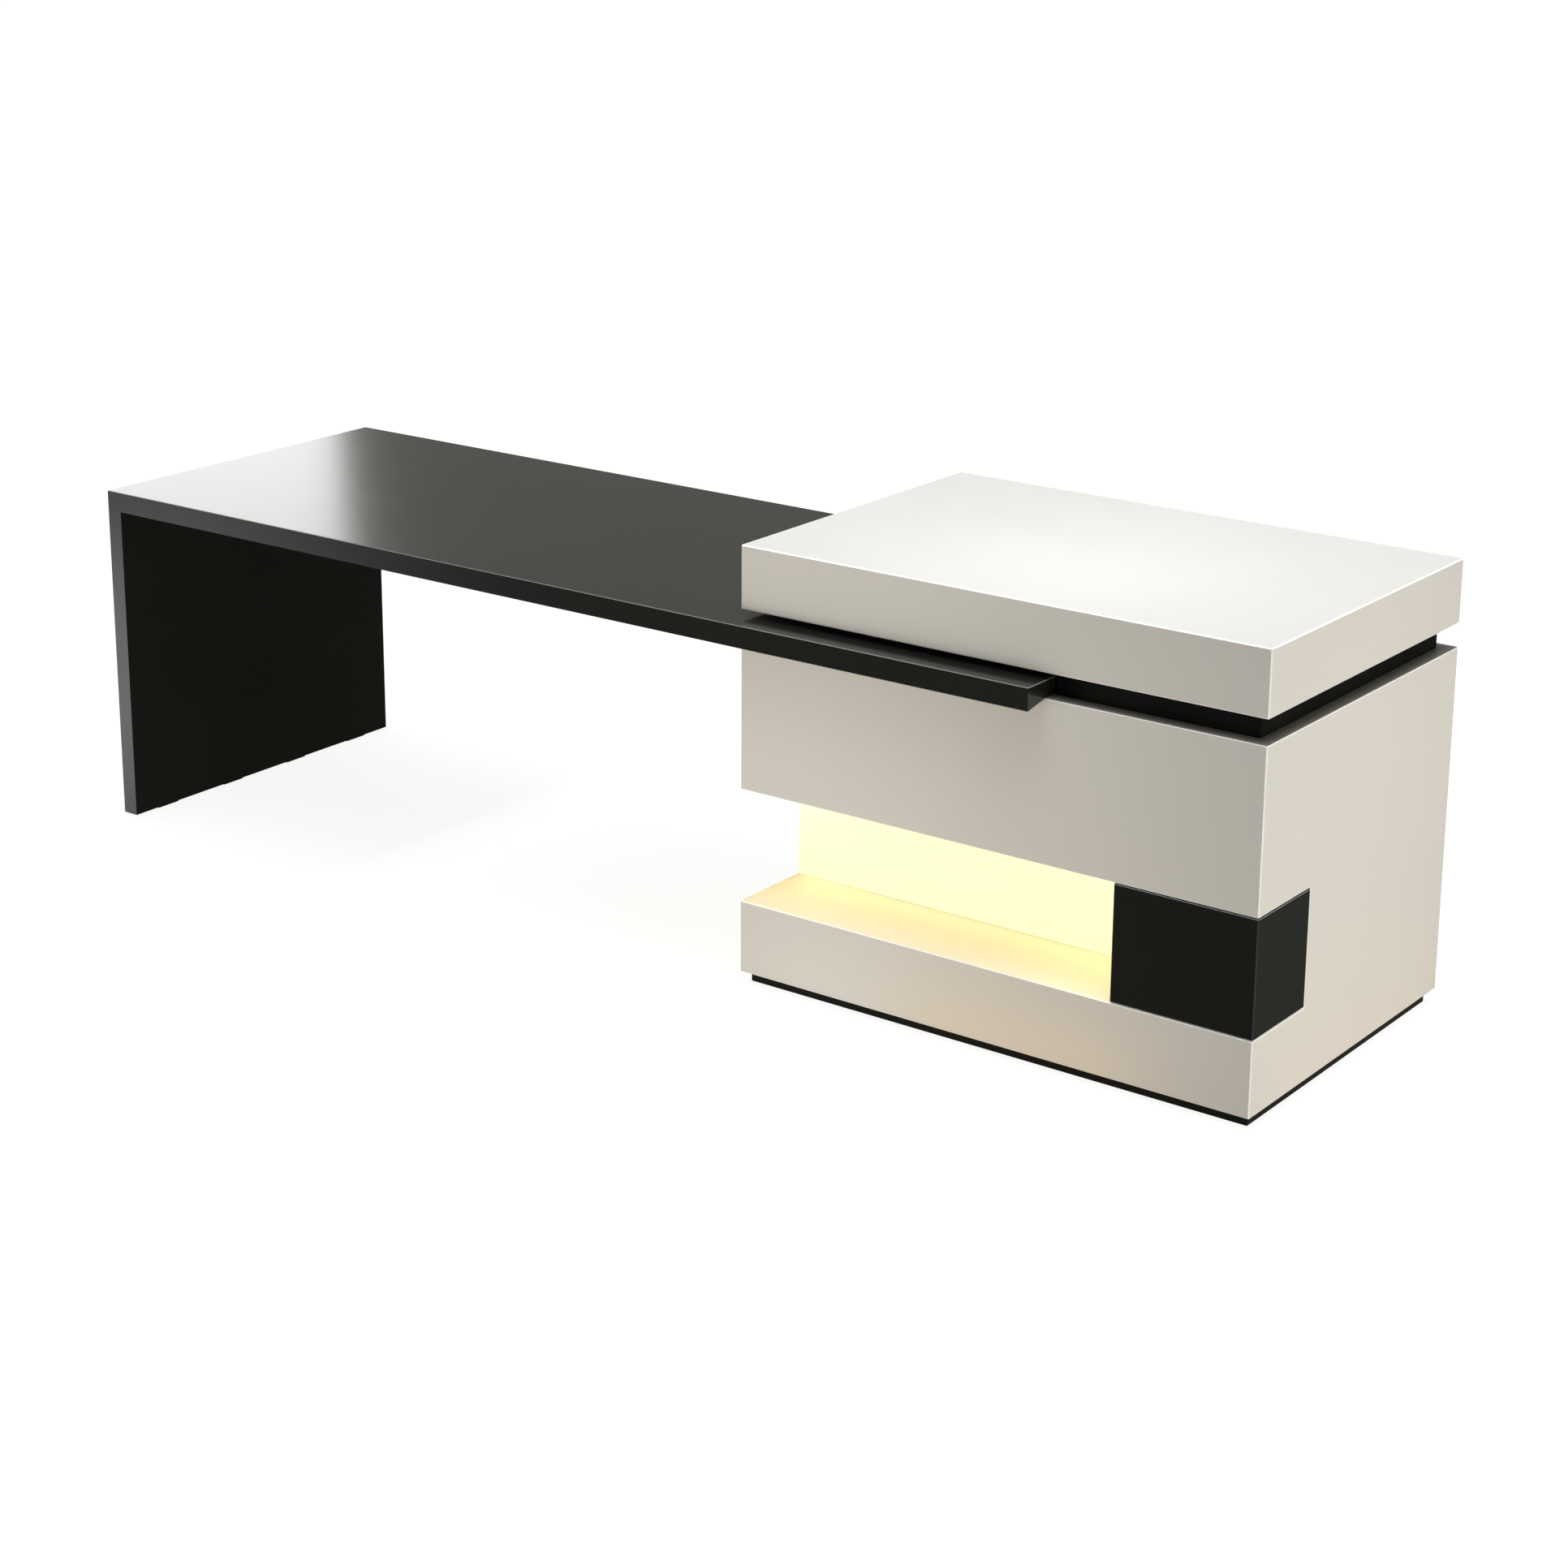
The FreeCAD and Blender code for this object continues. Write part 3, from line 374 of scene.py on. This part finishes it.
def anodised_metal():
    """Satin anodised aluminium with drawing lines along its length."""
    finish = Finish("anodised_metal", 0.34, Metallic=0.7)
    lines = finish.grain(0.5 * MM, stretch=(300.0, 1.0, 1.0), detail=4.0)
    finish.tones(finish.between(lines), dark=(0.58, 0.58, 0.59), light=(0.68, 0.68, 0.69))
    finish.sheen_range(lines, 0.28, 0.40)
    finish.relief(lines, 0.01 * MM)
    return finish.material


def bare_steel():
    """Zinc plated steel: small patches of crystal that differ in tone and sheen."""
    finish = Finish("bare_steel", 0.35, Metallic=0.6)
    patches = finish.cells(3.5 * MM)
    finish.tones(patches, dark=(0.50, 0.50, 0.52), light=(0.64, 0.64, 0.64))
    finish.sheen_range(patches, 0.30, 0.42)
    finish.relief(finish.grain(0.8 * MM, detail=3.0), 0.02 * MM)
    return finish.material


def dark_steel():
    """Black primer on steel tube, with a coarse peel."""
    finish = Finish("dark_steel", 0.48)
    patches = finish.between(finish.grain(0.04, detail=4.0))
    finish.tones(patches, dark=(0.022, 0.022, 0.022), light=(0.036, 0.036, 0.035))
    finish.sheen_range(finish.grain(0.03, detail=3.0), 0.40, 0.56)
    finish.relief(finish.grain(1.6 * MM, detail=2.0), 0.05 * MM)
    return finish.material


def dark_plastic():
    """Black moulded nylon with a fine sparked texture."""
    finish = Finish("dark_plastic", 0.5)
    finish.tones(finish.grain(0.02, detail=3.0), dark=(0.026, 0.026, 0.026), light=(0.042, 0.042, 0.041))
    finish.sheen_range(finish.grain(0.012), 0.42, 0.58)
    finish.relief(finish.grain(0.45 * MM, detail=2.0), 0.03 * MM)
    return finish.material


def pale_plastic():
    """Pale moulded case with a fine sparked texture."""
    finish = Finish("pale_plastic", 0.45)
    finish.tones(finish.grain(0.03, detail=3.0), dark=(0.66, 0.66, 0.64), light=(0.74, 0.74, 0.72))
    finish.sheen_range(finish.grain(0.015), 0.38, 0.52)
    finish.relief(finish.grain(0.5 * MM, detail=2.0), 0.03 * MM)
    return finish.material


def soft_rubber():
    """Matt black rubber, a little dusty."""
    finish = Finish("soft_rubber", 0.75)
    finish.tones(finish.grain(4.0 * MM, detail=4.0), dark=(0.020, 0.020, 0.020), light=(0.045, 0.044, 0.042))
    finish.sheen_range(finish.grain(3.0 * MM), 0.65, 0.85)
    finish.relief(finish.grain(0.7 * MM, detail=2.0), 0.04 * MM)
    return finish.material


def pale_floor(name, glow, tone):
    """Pale floor of a lit studio, with hardly any tone of its own."""
    finish = Finish(name, 0.8, Specular_IOR_Level=0.0, Emission_Color=(*glow, 1.0), Emission_Strength=1.0)
    finish.tones(finish.grain(0.8), dark=shade(FLOOR_PALE, tone), light=shade(FLOOR_PALE, tone * FLOOR_PATCHES))
    return finish.material


MAKERS = (white_lacquer, black_lacquer, shadow_black, grey_deck, carcass_board, opal_sheet, light_emitter,
          anodised_metal, bare_steel, dark_steel, dark_plastic, pale_plastic, soft_rubber)
FINISHES = {maker.__name__: maker() for maker in MAKERS}


def dress_solids():
    """Give each solid the finish of its slot in the record, and the shadow gap boards a darker black painted as
    shade.
    """
    for row in frame["record"]["subparts"]:
        solid = frame["nodes"][row["node"]]
        shaded = row["node"] in SHADOW_GAP_BOARDS
        solid.data.materials.clear()
        solid.data.materials.append(FINISHES["shadow_black" if shaded else row["material_slot"]])


def fitting(rows):
    """A round fitting on its base plane. Each row is a radius, for all turns or for each, and a height."""
    radius = np.stack([np.broadcast_to(row[0], TURN.shape) for row in rows])
    height = np.broadcast_to(np.array([row[1] for row in rows])[:, None], radius.shape)
    return np.stack([radius * np.cos(TURN), radius * np.sin(TURN), height], axis=-1)


def sized(profile, radius, height):
    """A profile's rows in metres: its first shares times the radius, its second shares times the height."""
    return [(across * radius, up * height) for across, up in profile]


def crossed_bars(reach, half_width):
    """The radius of a plus sign's outline: at each turn the farther edge of a lying and a standing bar."""
    along = np.maximum(np.abs(np.cos(TURN)), TINY)
    across = np.maximum(np.abs(np.sin(TURN)), TINY)
    lying = np.minimum(reach / along, half_width / across)
    standing = np.minimum(reach / across, half_width / along)
    return np.maximum(lying, standing)


def screw_head():
    """A flat-topped head with a plus-shaped recess that narrows downwards."""
    recess = crossed_bars(RECESS_REACH * SCREW_RADIUS, RECESS_HALF_WIDTH * SCREW_RADIUS)
    hollow = [(RECESS_NARROWING * recess, RECESS_FLOOR * SCREW_HEIGHT), (recess, SCREW_HEIGHT)]
    return fitting(hollow + sized(HEAD_PROFILE, SCREW_RADIUS, SCREW_HEIGHT))


def cover_cap():
    """A thin round cap with a rounded rim and a nick in the middle to lift it by."""
    return fitting(sized(CAP_PROFILE, CAP_RADIUS, CAP_HEIGHT))


def bumper_dot():
    """A low dome: its height falls from the middle as the cosine of the way to the rim."""
    way = np.linspace(DOT_LID, 1.0, DOT_RINGS)
    return fitting([(share * DOT_RADIUS, DOT_HEIGHT * math.cos(share * math.pi / 2)) for share in way])


def cooling_rib():
    """A low rounded bar: each ring is a circle whose halves are drawn apart by the bar's straight length."""
    bar = fitting(sized(COOLING_RIB_PROFILE, COOLING_RIB_RADIUS, COOLING_RIB_HEIGHT))
    bar[..., 1] += np.where(TURN < math.pi, 0.5, -0.5) * COOLING_RIB_LENGTH
    return bar


def strips_between(rows, steps):
    """Quads between neighbouring rings of points, closed round the turn."""
    here = np.arange((rows - 1) * steps).reshape(rows - 1, steps)
    there = np.roll(here, -1, axis=1)
    return np.stack([here, here + steps, there + steps, there], axis=-1).reshape(-1, 4)


def add_mesh(name, points, faces, material):
    """Put a new object into the scene, with its place in its mesh."""
    mesh = bpy.data.meshes.new(name)
    mesh.from_pydata(points.reshape(-1, 3).tolist(), [], faces)
    mesh.materials.append(material)
    added = bpy.data.objects.new(name, mesh)
    bpy.context.scene.collection.objects.link(added)
    return added


def set_out(name, body, slot, shape, facing, places):
    """Copies of a fitting: a point is its place, plus its sides and height along the facing's directions."""
    directions = np.array(FACINGS[facing], dtype=float)
    spots = np.array(places, dtype=float)
    rows, steps = shape.shape[:2]
    points = spots[:, None, :] + (shape.reshape(-1, 3) @ directions)[None]
    starts = np.arange(len(spots))[:, None, None] * rows * steps
    sides = (strips_between(rows, steps)[None] + starts).reshape(-1, 4)
    lids = np.arange(steps)[None] + starts[:, :, 0]
    bases = lids[:, ::-1] + (rows - 1) * steps
    piece = add_mesh(name, points, sides.tolist() + lids.tolist() + bases.tolist(), FINISHES[slot])
    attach(piece, body)


def every(xs, ys, zs):
    """Every place with one of the given values on each axis."""
    return np.stack(np.meshgrid(xs, ys, zs, indexing="ij"), axis=-1).reshape(-1, 3)


def fasten_table():
    """Screws through the brackets, the stiffening tubes and the rib under the table."""
    low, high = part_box("corner_brackets")
    rows = [low.y + end for end in BRACKET_ENDS] + [high.y - end for end in reversed(BRACKET_ENDS)]
    set_out("bracket_screws_up", "table", "bare_steel", screw_head(), "down",
            every([low.x + reach for reach in BRACKET_REACHES], rows, (high.z - BRACKET_LEAF,)))
    set_out("bracket_screws_leg", "table", "bare_steel", screw_head(), "right",
            every((low.x + BRACKET_LEAF,), rows, [low.z + height for height in BRACKET_HEIGHTS]))
    low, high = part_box("table_stiffeners")
    columns = np.linspace(low.x + STIFFENER_END, high.x - STIFFENER_END, STIFFENER_SCREWS)
    set_out("stiffener_screws", "table", "bare_steel", screw_head(), "down",
            every(columns, (low.y + STIFFENER_EDGE, high.y - STIFFENER_EDGE), (low.z,)))
    low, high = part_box("table_end_rib")
    rows = np.linspace(low.y + END_RIB_END, high.y - END_RIB_END, END_RIB_SCREWS)
    set_out("rib_screws", "table", "bare_steel", screw_head(), "down",
            every(((low.x + high.x) / 2,), rows, (low.z,)))


def fasten_storage():
    """Screws in the pivots' plates, caps over the carcass's joints, and what each drawer and door carries."""
    low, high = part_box("pivot_brackets")
    columns = (low.x + PIVOT_END, high.x - PIVOT_END)
    depth = (low.y + high.y) / 2
    set_out("pivot_screws_low", "island", "bare_steel", screw_head(), "up",
            every(columns, (depth,), (low.z + BRACKET_LEAF,)))
    set_out("pivot_screws_high", "island", "bare_steel", screw_head(), "down",
            every(columns, (depth,), (high.z - BRACKET_LEAF,)))
    low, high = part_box("base_board")
    wall_low, wall_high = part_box("lower_divider")
    columns = (low.x + BASE_CAP_END, wall_low.x - BASE_CAP_WALL,
               wall_high.x + BASE_CAP_WALL, high.x - BASE_CAP_END)
    set_out("base_caps", "island", "pale_plastic", cover_cap(), "up",
            every(columns, BASE_CAP_ROWS, (high.z,)))
    for side, free_edge in (("left", 1), ("right", 0)):
        fit_drawer(side, free_edge)
        fit_door(side, free_edge)


def fit_drawer(side, free_edge):
    """A drawer's caps, inside its sides and back, and its dots. Free edge 0 is the left one, 1 the right."""
    body = side + "_drawer"
    low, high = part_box(body + "_box")
    heights = (low.z + DRAWER_CAP_RISE, high.z - DRAWER_CAP_DROP)
    near_front = (high.y - DRAWER_CAP_FRONT,)
    set_out(body + "_caps_left", body, "pale_plastic", cover_cap(), "right",
            every((low.x + DRAWER_SIDE,), near_front, heights))
    set_out(body + "_caps_right", body, "pale_plastic", cover_cap(), "left",
            every((high.x - DRAWER_SIDE,), near_front, heights))
    set_out(body + "_caps_back", body, "pale_plastic", cover_cap(), "rear",
            every((low.x + DRAWER_CAP_SIDE, high.x - DRAWER_CAP_SIDE), (low.y + DRAWER_SIDE,), heights))
    low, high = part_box(body + "_front")
    edge = (low.x + DRAWER_DOT_EDGE, high.x - DRAWER_DOT_EDGE)[free_edge]
    set_out(body + "_dots", body, "pale_plastic", bumper_dot(), "front",
            every((edge,), (low.y,), (low.z + DRAWER_DOT_END, high.z - DRAWER_DOT_END)))


def fit_door(side, free_edge):
    """The dots that a door closes on. One meets the base board's edge and one the finger channel."""
    body = side + "_door"
    low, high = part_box(body)
    edge = (low.x + DOOR_DOT_EDGE, high.x - DOOR_DOT_EDGE)[free_edge]
    heights = (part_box("base_board")[1].z - DOOR_DOT_DROP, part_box("finger_channel")[0].z + DOOR_DOT_RISE)
    set_out(body + "_dots", body, "pale_plastic", bumper_dot(), "front", every((edge,), (low.y,), heights))


def rib_supply():
    """Cooling ribs across the light's supply, evenly spread along it."""
    low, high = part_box("light_driver")
    columns = np.linspace(low.x + COOLING_RIB_END, high.x - COOLING_RIB_END, COOLING_RIB_COUNT)
    set_out("supply_ribs", "island", "pale_plastic", cooling_rib(), "up",
            every(columns, ((low.y + high.y) / 2,), (high.z,)))


def floor_of(name, rings, drop, glow, tone):
    """A wide round floor: rings of points, and quads between neighbouring rings."""
    points = fitting(rings) - (0.0, 0.0, drop)
    faces = strips_between(len(rings), TURN_STEPS).tolist() + [list(range(TURN_STEPS))]
    floor = add_mesh(name, points, faces, pale_floor(name, glow, tone))
    floor.visible_glossy = False
    return floor


def lay_floor():
    """The floor that is seen, which turns up into a wall far off, and a dimmer one that throws light back."""
    seen = floor_of("studio_floor", SEEN_RINGS, SEEN_DROP, SEEN_GLOW, SEEN_TONE)
    seen.visible_diffuse = False
    seen.visible_shadow = False
    bounce = floor_of("studio_bounce", BOUNCE_RINGS, BOUNCE_DROP, BOUNCE_GLOW, BOUNCE_TONE)
    bounce.visible_camera = False


def hang_sky():
    """Soft light all round: a glow is its colour times a power of the cosine of the angle to its middle."""
    world = bpy.data.worlds.new("studio")
    world.use_nodes = True
    bpy.context.scene.world = world
    tree = world.node_tree
    look = add_node(tree, "TexCoord").outputs["Generated"]
    total = SKY_AROUND
    for middle, power, colour in SKY_GLOWS.values():
        towards = tuple(part / math.hypot(*middle) for part in middle)
        facing = add_node(tree, "VectorMath", [(0, look), (1, towards)], operation="DOT_PRODUCT")
        front = add_node(tree, "Math", [(0, facing.outputs["Value"]), (1, 0.0)], operation="MAXIMUM")
        lobe = add_node(tree, "Math", [(0, front.outputs[0]), (1, power)], operation="POWER")
        added = [(0, colour), (1, lobe.outputs[0]), (2, total)]
        total = add_node(tree, "VectorMath", added, operation="MULTIPLY_ADD").outputs[0]
    tree.links.new(total, tree.nodes["Background"].inputs["Color"])


def soft_box(name, place, aim, size, colour, radiance, mirrored=False):
    """A rectangular lamp that no camera sees. Its power is its radiance times its area times pi.

    A mirrored lamp shows only in glossy reflections, and any other only in diffuse light."""
    lamp = bpy.data.lights.new(name, "AREA")
    lamp.shape = "RECTANGLE"
    lamp.size, lamp.size_y = size
    lamp.color = colour
    lamp.energy = radiance * size[0] * size[1] * math.pi
    box = bpy.data.objects.new(name, lamp)
    box.location = place
    forward = np.subtract(aim, place) / np.linalg.norm(np.subtract(aim, place))
    across = np.cross(forward, (0.0, 0.0, 1.0))
    if np.linalg.norm(across) < TINY:
        across = np.array((1.0, 0.0, 0.0))
    across = across / np.linalg.norm(across)
    aim_at = Matrix((across, np.cross(across, forward), -forward)).transposed()
    box.rotation_euler = aim_at.to_euler()
    box.visible_camera = False
    box.visible_diffuse = not mirrored
    box.visible_glossy = mirrored
    bpy.context.scene.collection.objects.link(box)


def set_fills():
    """The card that the table mirrors at its leg, and lamps that fill the faces that the sky leaves dark."""
    soft_box("table_card", place=(-11.0, 7.2, 3.6), aim=(-1.43, 0.0, 0.76), size=(4.0, 4.2),
             colour=(1.0, 1.0, 0.99), radiance=2.78, mirrored=True)
    soft_box("top_fill", place=(0.9, -0.12, 1.5), aim=(0.9, -0.12, 0.9), size=(0.4, 0.3),
             colour=(1.0, 1.0, 1.0), radiance=2.9)
    soft_box("rear_fill", place=(0.5, 3.4, 0.8), aim=(0.7, 0.4, 0.4), size=(2.6, 1.2),
             colour=(1.0, 0.99, 0.97), radiance=2.0)
    soft_box("left_fill", place=(-0.8, MIDDLE_DEPTH, 0.42), aim=(LEFT, MIDDLE_DEPTH, 0.42), size=(0.7, 0.5),
             colour=(1.0, 0.99, 0.97), radiance=3.0)
    soft_box("front_fill", place=(0.33, -1.4, 0.5), aim=(0.45, FRONT, 0.45), size=(0.6, 0.6),
             colour=(1.0, 0.98, 0.93), radiance=4.6)
    soft_box("side_fill", place=(3.3, -0.15, 0.5), aim=(RIGHT, -0.15, 0.5), size=(1.6, 1.2),
             colour=(1.0, 0.99, 0.95), radiance=4.3)


def light_from_floor():
    """Strips near the floor: white and then warm along the island's front, and warm along its right side."""
    for name, middle, length, colour, radiance in (("floor_white", 0.46, 0.40, (1.0, 0.98, 0.94), 1.8),
                                                   ("floor_warmth", 0.92, 0.60, (1.0, 0.56, 0.08), 2.1)):
        soft_box(name, place=(middle, FRONT - STRIP_DISTANCE, STRIP_HEIGHT), aim=(middle, FRONT, STRIP_AIM),
                 size=(length, STRIP_WIDTH), colour=colour, radiance=radiance)
    soft_box("side_warmth", place=(RIGHT + STRIP_DISTANCE, MIDDLE_DEPTH, STRIP_HEIGHT),
             aim=(RIGHT, MIDDLE_DEPTH, STRIP_AIM), size=(0.7, STRIP_WIDTH),
             colour=(1.0, 0.56, 0.14), radiance=1.0)


def light_niche():
    """What the lit sheet throws into the niche: a lamp before it, one under the ceiling, one at each end."""
    low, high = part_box("light_panel")
    middle = (low + high) / 2
    length = high.x - low.x
    height = high.z - low.z
    before = low.y - LAMP_GAP
    soft_box("niche_glow", place=(middle.x, before, middle.z), aim=(middle.x, before - 1.0, middle.z),
             size=(length - GLOW_SHORTER, height - GLOW_LOWER), colour=NICHE_LIGHT, radiance=1.3)
    line = FRONT + WASH_LINE
    under_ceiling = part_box("niche_ceiling")[0].z - LAMP_GAP
    soft_box("niche_wash", place=(middle.x, line, under_ceiling), aim=(middle.x, line, 0.0),
             size=(length - WASH_SHORTER, LAMP_DEPTH), colour=NICHE_LIGHT, radiance=0.5)
    line = FRONT + END_LINE
    left_end = LEFT + LEFT_END_INSET
    right_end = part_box("corner_box_front")[0].x - RIGHT_END_INSET
    for name, end, radiance in (("niche_left", left_end, 8.4), ("niche_right", right_end, 9.6)):
        soft_box(name, place=(end, line, END_HEIGHT), aim=(end, line, 0.0),
                 size=(END_WIDTH, LAMP_DEPTH), colour=NICHE_LIGHT, radiance=radiance)


def set_camera():
    """A pinhole at the fitted place. Its axis meets the picture above the middle, so the frame is shifted."""
    level_share = math.cos(CAMERA_PITCH)
    forward = np.array((math.sin(CAMERA_YAW) * level_share, math.cos(CAMERA_YAW) * level_share,
                        -math.sin(CAMERA_PITCH)))
    level = np.array((math.cos(CAMERA_YAW), -math.sin(CAMERA_YAW), 0.0))
    drop = np.cross(forward, level)
    right = math.cos(CAMERA_ROLL) * level + math.sin(CAMERA_ROLL) * drop
    down = math.cos(CAMERA_ROLL) * drop - math.sin(CAMERA_ROLL) * level
    lens = bpy.data.cameras.new("photograph")
    lens.sensor_width = SENSOR_MM
    lens.lens = FOCAL_PX / PICTURE_PX * SENSOR_MM
    lens.shift_y = (AXIS_PX - PICTURE_PX / 2) / PICTURE_PX
    lens.clip_end = CAMERA_SIGHT
    camera = bpy.data.objects.new("photograph", lens)
    turned = Matrix((right, -down, -forward)).transposed().to_4x4()
    camera.matrix_world = Matrix.Translation(CAMERA_PLACE) @ turned
    bpy.context.scene.collection.objects.link(camera)
    bpy.context.scene.camera = camera


bpy.context.scene.view_settings.view_transform = "Standard"
dress_solids()
fasten_table()
fasten_storage()
rib_supply()
lay_floor()
hang_sky()
set_fills()
light_from_floor()
light_niche()
set_camera()
